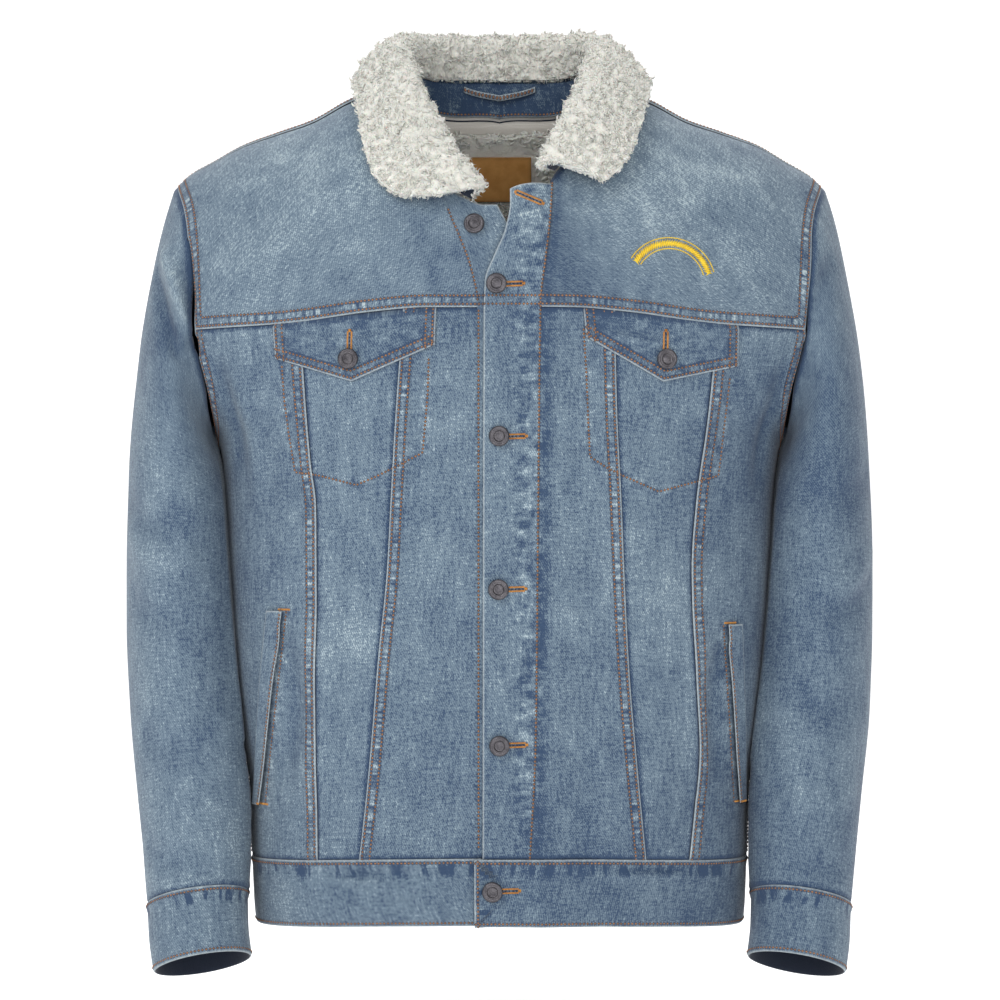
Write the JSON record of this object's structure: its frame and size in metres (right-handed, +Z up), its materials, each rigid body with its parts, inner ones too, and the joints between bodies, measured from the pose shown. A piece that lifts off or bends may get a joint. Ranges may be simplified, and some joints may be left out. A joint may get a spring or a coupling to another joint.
{
  "type": "sherpa lined denim jacket",
  "caption": "Men's washed denim jacket with a sherpa collar and lining, flapped chest pockets, slanted side pockets and a buttoned front, filled out as when worn.",
  "frame": {"origin": "middle of the neck between the high points of the two shoulders, where the wearer's shoulders hold it up", "axes": "+Z up, -Y the way the wearer faces, +X the wearer's left"},
  "size_m": [0.6384, 0.3051, 0.8197],
  "materials": {
    "denim": "washed mid-blue cotton denim twill, faded along its seams",
    "sherpa": "off-white sherpa fleece, clumped curly pile",
    "tape": "woven cotton tape",
    "leather": "tan leather, matt, bare",
    "metal": "dark gunmetal plating"
  },
  "bodies": {
    "root": {"front_inner_left": "denim", "front_centre_left": "denim", "front_side_left": "denim", "front_inner_right": "denim", "front_centre_right": "denim", "front_side_right": "denim", "yoke_front_left": "denim", "yoke_front_right": "denim", "placket_left": "denim", "placket_right": "denim", "yoke_back": "denim", "back_left": "denim", "back_centre": "denim", "back_right": "denim", "waistband": "denim", "sleeve_upper_left": "denim", "sleeve_under_left": "denim", "cuff_left": "denim", "sleeve_upper_right": "denim", "sleeve_under_right": "denim", "cuff_right": "denim", "collar_under": "denim", "neck_band": "denim", "flap_left": "denim", "flap_right": "denim", "welt_left": "denim", "welt_right": "denim", "collar": "sherpa", "lining_back_upper": "sherpa", "lining_back_lower": "sherpa", "neck_tape": "tape", "hanger_loop": "tape", "neck_label": "leather", "button_neck": "metal", "button_yoke": "metal", "button_chest": "metal", "button_middle": "metal", "button_low": "metal", "button_waist": "metal", "button_pocket_right": "metal", "button_pocket_left": "metal"}
  },
  "joints": []
}
